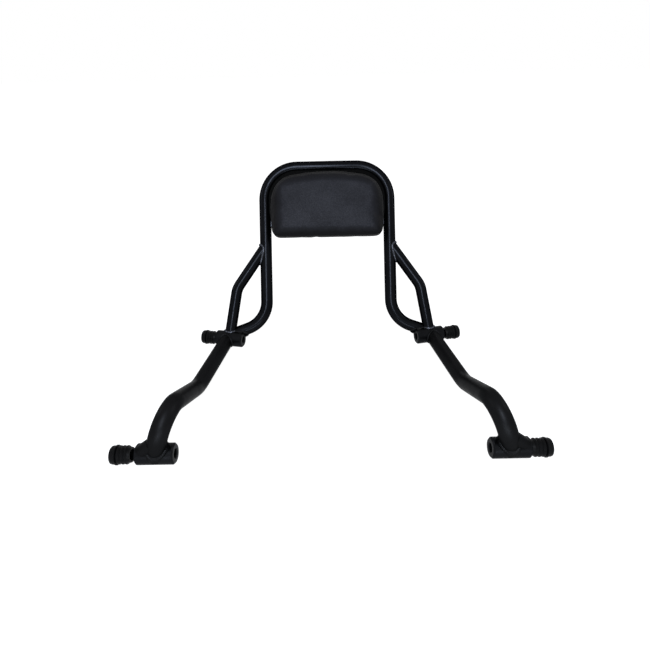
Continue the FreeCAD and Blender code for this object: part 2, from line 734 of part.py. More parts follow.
# Weld strips along both ends of the plate, in front of it and behind it.
for side_name, side in SIDES:
    strip_height = "Size.plate_height - 2 * Size.bead_plate"
    start = plate_centre + vector(side * half_spread, 0, 0) - up_leg * (value(strip_height) / 2)
    around = round_bar(
        "strip_round_" + side_name, start, up_leg, hoop_r + " + Size.bead_plate", strip_height)
    slab = doc.addObject("Part::Box", "strip_slab_" + side_name)
    slab.setExpression("Length", "Size.hoop_dia")
    slab.setExpression("Width", strip_height)
    slab.setExpression("Height", "Size.plate_thickness + 2 * Size.bead_plate")
    corner = vector(
        side * half_spread - (size("hoop_dia") if side == RIGHT else 0),
        -value(strip_height) / 2 - size("plate_drop"), -value(plate_front + " + Size.bead_plate"))
    slab.Placement = pad_frame.multiply(FreeCAD.Placement(corner, FreeCAD.Rotation()))
    strip = common("strip_" + side_name, [around, slab])
    strip_solids = fuse("strip_solids_" + side_name, [leg_bar[side], plate_coped])
    finish("weld_plate_" + side_name, cut("plate_weld_" + side_name, strip, strip_solids))

# Socket-head screws from behind the plate into the board.
screws = []
for x, y in SCREW_SPOTS:
    place = vector(value(x), value(y), -value(plate_front + " + Size.screw_head_height"))
    screw = new_body(
        "Body_screw_%d" % (len(screws) + 1),
        pad_frame.multiply(FreeCAD.Placement(place, FreeCAD.Rotation())))
    tip = "Size.screw_head_height + Size.plate_thickness + Size.screw_depth"
    revolve(screw, [
        ("0", "0"),
        ("Size.screw_head_dia * 0.3", "0"),
        ("Size.screw_head_dia * 0.44", "Size.screw_head_height * 0.3"),
        ("Size.screw_head_dia / 2", "Size.screw_head_height * 0.75"),
        ("Size.screw_head_dia / 2", "Size.screw_head_height"),
        ("Size.screw_dia / 2", "Size.screw_head_height"),
        ("Size.screw_dia / 2", tip + " - Size.screw_dia * 0.1"),
        ("Size.screw_dia * 0.4", tip),
        ("0", tip),
    ])
    socket = new_sketch(screw, "XY_Plane")
    draw_profile(socket, [
        ("Size.screw_socket * 0.57735", "0"),
        ("Size.screw_socket * 0.288675", "Size.screw_socket / 2"),
        ("-Size.screw_socket * 0.288675", "Size.screw_socket / 2"),
        ("-Size.screw_socket * 0.57735", "0"),
        ("-Size.screw_socket * 0.288675", "-Size.screw_socket / 2"),
        ("Size.screw_socket * 0.288675", "-Size.screw_socket / 2"),
    ])
    recess = screw.newObject("PartDesign::Pocket", screw.Name + "_recess")
    recess.Profile = socket
    recess.Reversed = True
    recess.setExpression("Length", "Size.screw_socket_depth")
    screws.append(screw)
screw_set = doc.addObject("Part::Compound", "screw_set")
screw_set.Links = screws
finish("pad_screws", screw_set)

doc.recompute()
for item in doc.Objects:
    if "Invalid" in item.State or "Error" in item.State:
        raise RuntimeError("%s did not compute" % item.Label)
    if hasattr(item, "Shape") and (item.Shape.isNull() or not item.Shape.isValid()):
        raise RuntimeError("%s has no valid shape" % item.Label)
for label, feature in finished:
    feature.Shape.exportStep("parts/%s.step" % label)
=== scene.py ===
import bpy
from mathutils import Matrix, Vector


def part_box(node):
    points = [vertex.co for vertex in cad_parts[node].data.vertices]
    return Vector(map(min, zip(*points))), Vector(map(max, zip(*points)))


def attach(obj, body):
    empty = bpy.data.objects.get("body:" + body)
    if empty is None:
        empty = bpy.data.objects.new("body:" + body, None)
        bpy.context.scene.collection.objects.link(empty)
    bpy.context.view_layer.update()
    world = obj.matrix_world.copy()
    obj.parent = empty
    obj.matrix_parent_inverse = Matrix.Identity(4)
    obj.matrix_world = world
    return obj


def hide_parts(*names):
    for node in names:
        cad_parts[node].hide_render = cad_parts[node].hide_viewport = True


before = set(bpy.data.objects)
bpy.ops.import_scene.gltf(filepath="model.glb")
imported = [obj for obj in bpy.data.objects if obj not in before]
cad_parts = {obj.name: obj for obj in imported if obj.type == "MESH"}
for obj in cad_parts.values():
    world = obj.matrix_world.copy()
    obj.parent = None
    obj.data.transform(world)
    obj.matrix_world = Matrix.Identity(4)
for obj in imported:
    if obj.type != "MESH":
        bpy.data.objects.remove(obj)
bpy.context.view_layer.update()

import math

import bmesh
import bpy
from mathutils import Matrix, Vector, noise

# Motorcycle passenger backrest: black tube frame with weld beads, rubber plugs and
# a covered foam cushion. All lengths are in metres, in the frame's own axes.

MM = 0.001
SIDES = (("left", -1), ("right", 1))

# Sizes that the joints and the cushion share with the frame.
HOOP_R = 11.0 * MM
STRUT_R = 10.0 * MM
ARM_R = 12.5 * MM
BOSS_R = 14.0 * MM
LEAN = math.radians(31.5)
REAR_YAW = math.radians(11.0)
STRUT_TOP = 140.5 * MM
UP_LEG = Vector((0.0, math.sin(LEAN), math.cos(LEAN)))
PAD_WIDTH = 205.0 * MM
PAD_HEIGHT = 118.5 * MM
PAD_ARC = 330.0 * MM
PAD_CORNER = 46.0 * MM
PAD_FOOT_CORNER = 15.0 * MM
SEAM_INSET = 5.0 * MM

# Joint points on the right side, counted from the front bosses, and the middle of the
# whole part's box counted the same way.
FRONT = Vector((230.0, 0.0, 14.0)) * MM
REAR = Vector((182.5, 277.5, 14.0)) * MM
KNEE = Vector((115.5, 302.5, 35.0)) * MM
STRUT_BEND = Vector((169.0, 328.0, 91.0)) * MM
ARM_LOW = Vector((209.0, 138.0, 14.0)) * MM
ARM_HIGH = Vector((207.0, -19.0, 98.0)) * MM
MIDDLE = Vector((-2.75, 223.0, 0.0)) * MM

# Camera, as it stood for the photograph.
IMAGE_SIZE = 650.0
FOCAL_PIXELS = 443.64
CAMERA_AT = Vector((-3.03, -412.53, 451.66)) * MM - MIDDLE
CAMERA_DOWN = math.radians(30.88)
CAMERA_YAW = math.radians(0.41)
CAMERA_ROLL = math.radians(-1.36)


# Node materials.

class Nodes:
    """Small helper around one material's node tree."""

    def __init__(self, name):
        self.material = bpy.data.materials.new(name)
        self.material.use_nodes = True
        self.tree = self.material.node_tree
        self.tree.nodes.clear()
        self.output = self.tree.nodes.new("ShaderNodeOutputMaterial")
        self.place = self.tree.nodes.new("ShaderNodeTexCoord").outputs["Object"]

    def new(self, kind, **settings):
        node = self.tree.nodes.new(kind)
        for key, item in settings.items():
            setattr(node, key, item)
        return node

    def link(self, source, target):
        self.tree.links.new(source, target)

    def noise(self, scale, detail=2.0, roughness=0.5):
        node = self.new("ShaderNodeTexNoise")
        self.link(self.place, node.inputs["Vector"])
        node.inputs["Scale"].default_value = scale
        node.inputs["Detail"].default_value = detail
        node.inputs["Roughness"].default_value = roughness
        return node.outputs["Fac"]

    def cells(self, scale):
        node = self.new("ShaderNodeTexVoronoi", feature="F1")
        self.link(self.place, node.inputs["Vector"])
        node.inputs["Scale"].default_value = scale
        return node.outputs["Distance"]

    def ramp(self, factor, stops):
        node = self.new("ShaderNodeValToRGB")
        self.link(factor, node.inputs["Fac"])
        points = node.color_ramp.elements
        while len(points) < len(stops):
            points.new(0.5)
        for point, (position, colour) in zip(points, stops):
            point.position = position
            point.color = (*colour, 1.0)
        return node.outputs["Color"]

    def spread(self, factor, low, high, start=0.3, end=0.7):
        node = self.new("ShaderNodeMapRange")
        self.link(factor, node.inputs["Value"])
        for key, item in (("From Min", start), ("From Max", end),
                          ("To Min", low), ("To Max", high)):
            node.inputs[key].default_value = item
        return node.outputs["Result"]

    def math(self, operation, first, second=0.0):
        node = self.new("ShaderNodeMath", operation=operation)
        for index, item in enumerate((first, second)):
            if isinstance(item, (int, float)):
                node.inputs[index].default_value = item
            else:
                self.link(item, node.inputs[index])
        return node.outputs[0]

    def bump(self, height, strength, distance, normal=None):
        node = self.new("ShaderNodeBump")
        self.link(height, node.inputs["Height"])
        node.inputs["Strength"].default_value = strength
        node.inputs["Distance"].default_value = distance
        if normal:
            self.link(normal, node.inputs["Normal"])
        return node.outputs["Normal"]

    def finish(self, colour, roughness, normal, specular, metallic=0.0, rim=1.0):
        """Shade the surface; rim tints what a metallic coat mirrors near its outline."""
        shader = self.new("ShaderNodeBsdfPrincipled")
        self.link(colour, shader.inputs["Base Color"])
        self.link(roughness, shader.inputs["Roughness"])
        self.link(normal, shader.inputs["Normal"])
        shader.inputs["Specular IOR Level"].default_value = specular
        shader.inputs["Metallic"].default_value = metallic
        shader.inputs["Specular Tint"].default_value = (rim, rim, rim, 1.0)
        self.link(shader.outputs["BSDF"], self.output.inputs["Surface"])
        return self.material


def paint(name, low_roughness, high_roughness, gloss, peel, rim=0.32, blue=1.30):
    """Black coat on steel: faint blue-black mottling and a slight orange peel.

    It is mostly metallic with a damped rim, so that the white surroundings don't pale
    the outlines. gloss is how much it mirrors face on, and blue how much more in blue.
    """
    nodes = Nodes(name)
    cloud = nodes.noise(28.0, 3.0, 0.6)
    green = 0.75 + 0.25 * blue
    colour = nodes.ramp(cloud, [
        (place, (level * gloss, level * gloss * green, level * gloss * blue))
        for place, level in ((0.25, 0.80), (0.6, 1.0), (0.8, 1.25))])
    roughness = nodes.spread(nodes.noise(45.0, 3.0, 0.6), low_roughness, high_roughness)
    skin = nodes.bump(nodes.noise(260.0, 1.0, 0.4), peel, 0.0003)
    return nodes.finish(colour, roughness, skin, 0.05, metallic=0.9, rim=rim)


def rubber(name, tone):
    """Dull black rubber, or near-black painted shade on the cover's lip; a lower tone is darker.
    """
    nodes = Nodes(name)
    cloud = nodes.noise(60.0, 4.0, 0.6)
    colour = nodes.ramp(cloud, [
        (place, (level * tone, level * tone, level * tone * 1.08))
        for place, level in ((0.3, 0.0045), (0.65, 0.0070), (0.85, 0.0125))])
    roughness = nodes.spread(nodes.noise(300.0, 3.0, 0.6), 0.32, 0.50)
    skin = nodes.bump(nodes.noise(1500.0, 3.0, 0.6), 0.12, 0.0003)
    return nodes.finish(colour, roughness, skin, 0.07 * tone)


def vinyl(name, to_pad):
    """Grained cover: raised cells, fine pores, and a band of painted shade round the sewn
    border.
    """
    nodes = Nodes(name)
    grain = nodes.cells(620.0)
    pores = nodes.noise(2400.0, 3.0, 0.65)
    speck = nodes.noise(760.0, 2.0, 0.7)
    cloud = nodes.noise(24.0, 4.0, 0.6)
    tone = nodes.math("ADD", nodes.math("MULTIPLY", cloud, 0.30),
                      nodes.math("MULTIPLY", speck, 0.70))
    # Painted shade: darker toward the sides, the foot and the top arc, in the cushion's own
    # axes.
    turned = nodes.new("ShaderNodeMapping")
    nodes.link(nodes.place, turned.inputs["Vector"])
    turned.inputs["Location"].default_value = to_pad.translation
    turned.inputs["Rotation"].default_value = to_pad.to_euler()
    split = nodes.new("ShaderNodeSeparateXYZ")
    nodes.link(turned.outputs["Vector"], split.inputs["Vector"])
    x, y = split.outputs["X"], split.outputs["Y"]
    half, top = PAD_WIDTH / 2, PAD_HEIGHT / 2
    waver = nodes.math("MULTIPLY", nodes.noise(38.0, 3.0, 0.6), 12 * MM)
    aside = nodes.math("ADD", nodes.math("ABSOLUTE", x), waver)
    down = nodes.math("SUBTRACT", waver, y)
    rise = nodes.math("SUBTRACT", y, top - PAD_ARC)
    squares = nodes.math("ADD", nodes.math("MULTIPLY", x, x), nodes.math("MULTIPLY", rise, rise))
    reach = nodes.math("SQRT", squares)
    side_shade = nodes.spread(aside, 0.0, 1.0, half - 18 * MM, half - 1 * MM)
    foot_shade = nodes.spread(down, 0.0, 1.0, top - 9 * MM, top + 3 * MM)
    top_shade = nodes.spread(reach, 0.0, 0.9, PAD_ARC - 24 * MM, PAD_ARC - 4 * MM)
    border = nodes.math("MAXIMUM", nodes.math("MAXIMUM", side_shade, foot_shade), top_shade)
    # The sewn line under the top edge.
    off_seam = nodes.math("ABSOLUTE", nodes.math("SUBTRACT", reach, PAD_ARC - SEAM_INSET))
    seam = nodes.spread(off_seam, 0.15, 1.0, 0.4 * MM, 1.2 * MM)
    # The tone is darkened by the border's painted shade and by the sewn line.
    inner = nodes.math("MULTIPLY", nodes.math("SUBTRACT", 1.0, border), seam)
    colour = nodes.ramp(nodes.math("MULTIPLY", tone, inner), [
        (0.05, (0.0025, 0.0025, 0.0032)), (0.38, (0.0095, 0.0098, 0.0125)),
        (0.50, (0.0170, 0.0174, 0.0220)), (0.62, (0.0300, 0.0305, 0.0370))])
    roughness = nodes.spread(nodes.noise(420.0, 3.0, 0.6), 0.46, 0.62)
    skin = nodes.bump(grain, 0.35, 0.0004)
    skin = nodes.bump(pores, 0.25, 0.0002, skin)
    return nodes.finish(colour, roughness, skin, 0.07)


def plywood(name):
    """Black-stained plywood, its layers still faintly seen."""
    nodes = Nodes(name)
    wave = nodes.new("ShaderNodeTexWave", wave_type="BANDS", bands_direction="Z")
    nodes.link(nodes.place, wave.inputs["Vector"])
    wave.inputs["Scale"].default_value = 60.0
    wave.inputs["Distortion"].default_value = 6.0
    wave.inputs["Detail"].default_value = 3.0
    colour = nodes.ramp(wave.outputs["Fac"], [
        (0.2, (0.0120, 0.0110, 0.0100)), (0.6, (0.0180, 0.0165, 0.0150)),
        (0.9, (0.0270, 0.0240, 0.0210))])
    roughness = nodes.spread(nodes.noise(300.0), 0.6, 0.8)
    skin = nodes.bump(wave.outputs["Fac"], 0.15, 0.0003)
    return nodes.finish(colour, roughness, skin, 0.3)


def zinc(name):
    """Plated screw heads."""
    nodes = Nodes(name)
    cloud = nodes.noise(400.0, 3.0, 0.6)
    colour = nodes.ramp(cloud, [(0.3, (0.42, 0.42, 0.43)), (0.7, (0.58, 0.58, 0.60))])
    roughness = nodes.spread(nodes.noise(900.0, 3.0, 0.6), 0.28, 0.42)
    skin = nodes.bump(nodes.noise(1800.0, 2.0), 0.1, 0.0002)
    return nodes.finish(colour, roughness, skin, 0.5, metallic=1.0)


# Paints: name, lowest and highest roughness, gloss, peel, rim, blue.
FRAME_PAINT = paint("frame_paint", 0.18, 0.25, 0.0062, 0.005)
ARM_PAINT = paint("arm_paint", 0.38, 0.47, 0.0088, 0.03, 0.48, 1.12)
CAST_PAINT = paint("boss_paint", 0.30, 0.40, 0.0085, 0.05, 0.58, 1.18)
BEAD_PAINT = paint("bead_paint", 0.15, 0.22, 0.0500, 0.02)
PLUG_RUBBER = rubber("plug_rubber", 0.7)
# Near-black painted shade on the cover's lip between cushion and hoop.
LIP_PAINTED_SHADE = rubber("cover_lip_painted_shade", 0.2)
BOARD = plywood("base_board")
SCREW = zinc("screw_zinc")


def dress(name, material):
    """Give a CAD node its finish."""
    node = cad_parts[name]
    node.data.materials.clear()
    node.data.materials.append(material)


dress("hoop_tube", FRAME_PAINT)
dress("pad_plate", FRAME_PAINT)
dress("pad_board", BOARD)
dress("pad_screws", SCREW)
for side_name, side in SIDES:
    dress("strut_%s" % side_name, FRAME_PAINT)
    dress("arm_%s" % side_name, ARM_PAINT)
    for part in ("boss_front", "boss_rear"):
        dress("%s_%s" % (part, side_name), CAST_PAINT)
    for part in ("plug_front", "plug_rear"):
        dress("%s_%s" % (part, side_name), PLUG_RUBBER)
    dress("weld_front_%s" % side_name, ARM_PAINT)
    for part in ("weld_strut", "weld_rear", "weld_plate"):
        dress("%s_%s" % (part, side_name), BEAD_PAINT)


def add_piece(name, mesh, material, smooth=True):
    """Put a mesh into the scene with its finish."""
    piece = bpy.data.objects.new(name, mesh)
    bpy.context.scene.collection.objects.link(piece)
    mesh.materials.clear()
    mesh.materials.append(material)
    for face in mesh.polygons:
        face.use_smooth = smooth
    return piece


# Weld beads: a rope of overlapping drops along the line where two round tubes meet.

BEAD_STEP = 0.45 * MM
BEAD_STRETCH = 1.3
BEAD_SIDES = 12
BEAD_FLOOR = 0.2 * MM
DROP_PITCH = 2.6 * MM
FEWEST_DROPS = 4
DROP_NECK = 0.92
DROP_SWELL = 0.10
DROP_UNEVEN = 0.10
DROP_ROUND = 0.6

# Where three tubes' axes meet a rear boss, counted from its middle: outward, back, up.
STRUT_FOOT = Vector((2.0, 2.0, 0.0)) * MM
ARM_START = Vector((5.0, 0.0, 0.0)) * MM
LEG_END = Vector((-2.0, 11.0, 2.5)) * MM


def joint_line(start, direction, radius, host_start, host_direction, host_radius, steps):
    """Points where a tube's outer skin first meets its host, coming from outside."""
    across = direction.orthogonal().normalized()
    along = direction.cross(across)
    points = []
    for index in range(steps):
        angle = 2 * math.pi * index / steps
        offset = across * math.cos(angle) + along * math.sin(angle)
        origin = start + offset * radius - host_start
        flat_origin = origin - host_direction * origin.dot(host_direction)
        flat_direction = direction - host_direction * direction.dot(host_direction)
        a = flat_direction.dot(flat_direction)
        b = 2 * flat_origin.dot(flat_direction)
        c = flat_origin.dot(flat_origin) - host_radius ** 2
        root = b * b - 4 * a * c
        reach = (-b + math.sqrt(max(0.0, root))) / (2 * a)
        points.append(start + offset * radius + direction * reach)
    return points


def rope_mesh(name, points, radius, seed):
    """Closed tube of drops through the points; no vertex goes under the floor."""
    count = len(points)
    length = sum((points[(i + 1) % count] - points[i]).length for i in range(count))
    drops = max(FEWEST_DROPS, round(length / DROP_PITCH))
    shape = bmesh.new()
    rings = []
    travelled = 0.0
    for index, point in enumerate(points):
        ahead = points[(index + 1) % count]
        behind = points[index - 1]
        heading = (ahead - behind).normalized()
        phase = drops * travelled / length
        ripple = abs(math.sin(math.pi * phase))
        drop = math.floor(phase) % drops
        uneven = noise.noise(Vector((drop * 0.37, seed * 3.1, 0.0))) * DROP_UNEVEN
        local = radius * (DROP_NECK + DROP_SWELL * ripple ** DROP_ROUND + uneven)
        side = heading.orthogonal().normalized()
        upward = heading.cross(side)
        ring = []
        for step in range(BEAD_SIDES):
            angle = 2 * math.pi * step / BEAD_SIDES
            place = point + (side * math.cos(angle) + upward * math.sin(angle)) * local
            place.z = max(place.z, BEAD_FLOOR)
            ring.append(shape.verts.new(place))
        rings.append(ring)
        travelled += (ahead - point).length
    for index in range(count):
        ring = rings[index]
        following = rings[(index + 1) % count]
        shift = min(range(BEAD_SIDES), key=lambda k: (ring[0].co - following[k].co).length)
        for step in range(BEAD_SIDES):
            onward = (step + 1) % BEAD_SIDES
            shape.faces.new((ring[step], ring[onward], following[(onward + shift) % BEAD_SIDES],
                             following[(step + shift) % BEAD_SIDES]))
    bmesh.ops.recalc_face_normals(shape, faces=shape.faces)
    mesh = bpy.data.meshes.new(name)
    shape.to_mesh(mesh)
    shape.free()
    return mesh


def weld_bead(name, nodes, tube, host, radius, seed):
    """Bead where a tube meets its host; the struts' beads catch the light, as in the photo."""
    tube_radius = tube[2]
    steps = int(2 * math.pi * tube_radius * BEAD_STRETCH / BEAD_STEP)
    points = joint_line(*tube, *host, steps)
    coat = BEAD_PAINT if tube_radius == STRUT_R else ARM_PAINT
    bead = add_piece(name, rope_mesh(name, points, radius, seed), coat)
    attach(bead, "root")
    for node in nodes:
        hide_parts(node)


def on_side(point, side):
    """A right-hand point on either side, in the frame's axes."""
    return Vector((point.x * side, point.y, point.z)) - MIDDLE


def at_boss(rear, outward, shift):
    """A boss's middle, moved outward along its axis, backward and upward."""
    return rear + outward * shift.x + Vector((0.0, shift.y, shift.z))


for side_name, side in SIDES:
    outward = Vector((side * math.cos(REAR_YAW), math.sin(REAR_YAW), 0.0))
    front = on_side(FRONT, side)
    rear = on_side(REAR, side)
    knee = on_side(KNEE, side)
    joint = knee + UP_LEG * STRUT_TOP
    bend = on_side(STRUT_BEND, side)
    foot = at_boss(rear, outward, STRUT_FOOT)
    arm_start = at_boss(rear, outward, ARM_START)
    leg_end = at_boss(rear, outward, LEG_END)
    front_host = (front, Vector((1.0, 0.0, 0.0)), BOSS_R)
    rear_host = (rear, outward, BOSS_R)
    leg_host = (joint, UP_LEG, HOOP_R)
    # Role, replaced weld, tube's start, aim and radius, host, bead's radius.
    joints = (
        ("front", None, front, on_side(ARM_HIGH, side), ARM_R, front_host, 3.0 * MM),
        ("top", "weld_strut", joint, bend, STRUT_R, leg_host, 2.3 * MM),
        ("foot", "weld_rear", foot, bend, STRUT_R, rear_host, 2.3 * MM),
        ("arm", "weld_rear", arm_start, on_side(ARM_LOW, side), ARM_R, rear_host, 2.1 * MM),
        ("leg", "weld_rear", leg_end, knee, HOOP_R, rear_host, 2.4 * MM),
    )
    for number, (role, plain, start, aim, radius, host, bead) in enumerate(joints):
        nodes = ["%s_%s" % (plain, side_name)] if plain else []
        weld_bead("bead_%s_%s" % (role, side_name), nodes,
                  (start, (aim - start).normalized(), radius), host, bead, number + side)


# Cushion: the frame's cushion solid, swollen as stuffed fabric, then sewn and creased.

VOXEL = 4.5 * MM
SHRINK = 1.2 * MM
LARGEST_MOVE = 3.0 * MM
CLOTH_FRAMES = 20

# How far each detail of the sewing moves the cover, and where.
CROWN = 1.2 * MM
BORDER = 27.0 * MM
BORDER_WAVER = 3.0 * MM
BORDER_FALL = 3.2 * MM
SLACK = 0.9 * MM
SLACK_TOP_SHARE = 0.35
TUCK = 0.8 * MM
TUCK_X = -21.0 * MM
GATHER = 0.7 * MM
GATHER_PITCH = 5.0 * MM
GATHER_X = (-30.0 * MM, 32.0 * MM)
SEAM = 0.35 * MM
FOOT_DROP = 2.9 * MM
FOOT_DROP_START = 34.0 * MM
FOOT_DROP_SPAN = 22.0 * MM
DENT = 0.15 * MM

# The hoop around the cushion, and the cover's edge in near-black painted shade that reaches
# toward it.
PAD_DROP = 15.0 * MM
LEG_X = 115.5 * MM
HOOP_CORNER = 60.5 * MM
LIP_CLEAR = 7.0 * MM
LIP_TUCK = 5.0 * MM
LIP_BACK = -14.0 * MM
LIP_FRONT = -12.8 * MM
LIP_START = math.radians(-24.0)
LIP_FADE = 12
LIP_END = 2.0 * MM
LIP_STEPS = 120
SEARCH_STEP = 0.2 * MM


def pad_matrix():
    """From the cushion's own axes (sideways, up the legs, to the front) to the frame's."""
    low, high = [Vector(corner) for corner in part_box("pad_cushion")]
    turn = Matrix.Rotation(math.pi / 2 - LEAN, 4, "X")
    return Matrix.Translation((low + high) / 2) @ turn


def evaluated_mesh(piece):
    """A piece's mesh with its modifiers applied."""
    graph = bpy.context.evaluated_depsgraph_get()
    graph.update()
    return bpy.data.meshes.new_from_object(piece.evaluated_get(graph))


def with_modifier(piece, kind, **settings):
    """Apply one modifier to a piece's mesh."""
    modifier = piece.modifiers.new(kind.lower(), kind)
    for key, item in settings.items():
        setattr(modifier, key, item)
    mesh = evaluated_mesh(piece)
    piece.modifiers.clear()
    piece.data = mesh


def inside_edge(x, y):
    """Distance from a point of the cushion's face to its outline, positive inside."""
    half = PAD_WIDTH / 2
    top = PAD_HEIGHT / 2
    x = abs(x)
    corner_x = half - PAD_CORNER
    corner_y = top - PAD_ARC + math.sqrt((PAD_ARC - PAD_CORNER) ** 2 - corner_x ** 2)
    foot_x = half - PAD_FOOT_CORNER
    foot_y = PAD_FOOT_CORNER - top
    if x > foot_x and y < foot_y:
        return PAD_FOOT_CORNER - math.hypot(x - foot_x, y - foot_y)
    tilt = math.atan2(corner_y - (top - PAD_ARC), corner_x)
    if y > corner_y and math.atan2(y - (top - PAD_ARC), x) < tilt and x > corner_x:
        return PAD_CORNER - math.hypot(x - corner_x, y - corner_y)
    return min(half - x, y + top, PAD_ARC - math.hypot(x, y - (top - PAD_ARC)))


def bell(distance, width):
    """1 at no distance, falling smoothly to 0 beyond the width."""
    return math.exp(-(distance / width) ** 2)


def swell(pad):
    """Cloth with air pressure inside, each point held near where it began."""
    start = [vertex.co.copy() for vertex in pad.data.vertices]
    modifier = pad.modifiers.new("cloth", "CLOTH")
    cloth = modifier.settings
    cloth.quality = 6
    cloth.mass = 0.25
    cloth.tension_stiffness = 25
    cloth.compression_stiffness = 25
    cloth.shear_stiffness = 10
    cloth.bending_stiffness = 4
    cloth.use_pressure = True
    cloth.uniform_pressure_force = 4.0
    cloth.effector_weights.gravity = 0.0
    modifier.point_cache.frame_start = 1
    modifier.point_cache.frame_end = CLOTH_FRAMES
    for number in range(1, CLOTH_FRAMES + 1):
        bpy.context.scene.frame_set(number)
    mesh = evaluated_mesh(pad)
    pad.modifiers.clear()
    bpy.context.scene.frame_set(1)
    for vertex, origin in zip(mesh.vertices, start):
        move = vertex.co - origin
        if move.length > LARGEST_MOVE:
            move = move.normalized() * LARGEST_MOVE
        vertex.co = origin + move
    pad.data = mesh


def sew(pad, to_pad, from_pad):
    """Crown, creases and sewn line, in the cushion's own axes.

    The normals are all taken before the first point moves.
    """
    turn = to_pad.to_3x3()
    normals = [turn @ vertex.normal for vertex in pad.data.vertices]
    for vertex, normal in zip(pad.data.vertices, normals):
        place = to_pad @ vertex.co
        x, y = place.x, place.y
        inside = inside_edge(x, y)
        facing = max(0.0, normal.z)
        move = 0.0
        # Soft crown over the whole face, falling away toward the border.
        across = max(0.0, 1 - (2 * x / PAD_WIDTH) ** 2)
        crown = across * max(0.0, 1 - (2 * y / PAD_HEIGHT) ** 2)
        move += CROWN * crown * facing
        border = inside + BORDER_WAVER * noise.noise(Vector((x * 26, y * 26, 8.1)))
        fall = 1 - min(1.0, max(0.0, border / BORDER))
        move -= BORDER_FALL * fall * fall * facing
        # Slack cover along the rounded border, most at the foot.
        slack = noise.noise(Vector((x * 34, y * 20, 3.7))) * bell(inside - 13 * MM, 8 * MM)
        foot = 1.0 if y < 0 else SLACK_TOP_SHARE
        move += SLACK * slack * foot
        # Tuck near the middle of the foot.
        tuck = bell(x - TUCK_X, 4.5 * MM) * bell(y + PAD_HEIGHT / 2 - 3 * MM, 7 * MM)
        move -= TUCK * tuck
        # Gathers under the top seam, in two stretches.
        if y > 0:
            stretch = sum(bell(x - middle, 20 * MM) for middle in GATHER_X)
            gather = 0.5 + 0.5 * math.cos(2 * math.pi * x / GATHER_PITCH)
            move -= GATHER * gather * min(1.0, stretch) * bell(inside - 4 * MM, 2.5 * MM)
            move -= SEAM * bell(inside - SEAM_INSET, 2.0 * MM)
        # The foot hangs a little lower than its solid.
        place.y -= FOOT_DROP * min(1.0, max(0.0, (-y - FOOT_DROP_START) / FOOT_DROP_SPAN))
        # Small dents all over.
        move += DENT * noise.noise(place * 90)
        vertex.co = from_pad @ (place + normal * move)
    pad.data.update()


def far_along(heading, margin):
    """How far from the cushion's centre the margin stays above zero in one direction."""
    far = PAD_HEIGHT / 4
    while margin(heading.x * far, heading.y * far) > 0:
        far += SEARCH_STEP
    return far


def leg_gap(x, y):
    """How far a point in the cushion's own axes lies inside the line where the lip ends."""
    x = abs(x)
    y -= PAD_HEIGHT / 2 + PAD_DROP
    corner = LEG_X - HOOP_CORNER
    if x > corner and y > -HOOP_CORNER:
        from_line = HOOP_CORNER - math.hypot(x - corner, y + HOOP_CORNER)
    else:
        from_line = min(LEG_X - x, -y)
    return from_line - LIP_CLEAR


def make_lip(from_pad):
    """Back edge of the cover in painted shade, which closes the gap between cushion and hoop."""
    shape = bmesh.new()
    rings = []
    for step in range(LIP_STEPS + 1):
        angle = LIP_START + (math.pi - 2 * LIP_START) * step / LIP_STEPS
        heading = Vector((math.cos(angle), math.sin(angle)))
        inner = far_along(heading, inside_edge)
        outer = far_along(heading, leg_gap)
        fade = min(1.0, step / LIP_FADE, (LIP_STEPS - step) / LIP_FADE)
        outer = inner + (outer - inner) * fade - (1 - fade) * LIP_END
        hidden = inner - LIP_TUCK
        ring = []
        for far, height in ((hidden, LIP_BACK), (outer, LIP_BACK),
                            (outer, LIP_FRONT), (hidden, LIP_FRONT)):
            place = Vector((heading.x * far, heading.y * far, height))
            ring.append(shape.verts.new(from_pad @ place))
        rings.append(ring)
    for before, after in zip(rings, rings[1:]):
        for index in range(len(before)):
            turned = (index + 1) % len(before)
            shape.faces.new((before[index], before[turned], after[turned], after[index]))
    shape.faces.new(rings[0])
    shape.faces.new(rings[-1][::-1])
    bmesh.ops.recalc_face_normals(shape, faces=shape.faces)
    mesh = bpy.data.meshes.new("cover_lip_painted_shade")
    shape.to_mesh(mesh)
    shape.free()
    lip = add_piece("cover_lip_painted_shade", mesh, LIP_PAINTED_SHADE, smooth=False)
    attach(lip, "root")


def make_cushion(from_pad):
    """Swollen and sewn cover in place of the cushion's solid."""
    to_pad = from_pad.inverted()
    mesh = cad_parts["pad_cushion"].data.copy()
    pad = add_piece("cushion_cover", mesh, COVER)
    with_modifier(pad, "REMESH", mode="VOXEL", voxel_size=VOXEL)
    for vertex, normal in [(v, v.normal.copy()) for v in pad.data.vertices]:
        vertex.co -= normal * SHRINK
    swell(pad)
    with_modifier(pad, "SMOOTH", factor=0.5, iterations=2)
    with_modifier(pad, "SUBSURF", levels=2, render_levels=2)
    sew(pad, to_pad, from_pad)
    for face in pad.data.polygons:
        face.use_smooth = True
    pad.data.materials.clear()
    pad.data.materials.append(COVER)
    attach(pad, "root")
    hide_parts("pad_cushion")


PAD_MATRIX = pad_matrix()
COVER = vinyl("cushion_cover", PAD_MATRIX.inverted())
make_cushion(PAD_MATRIX)
make_lip(PAD_MATRIX)


# Floor, light and camera.

FLOOR_SIZE = 30.0
FLOOR_GAP = 0.2 * MM
FLOOR_GLOW = 0.93
FLOOR_SHADE = 0.45
WORLD_LIGHT = 0.22
LIGHTS_AIM = Vector((0.0, 0.05, 0.12))

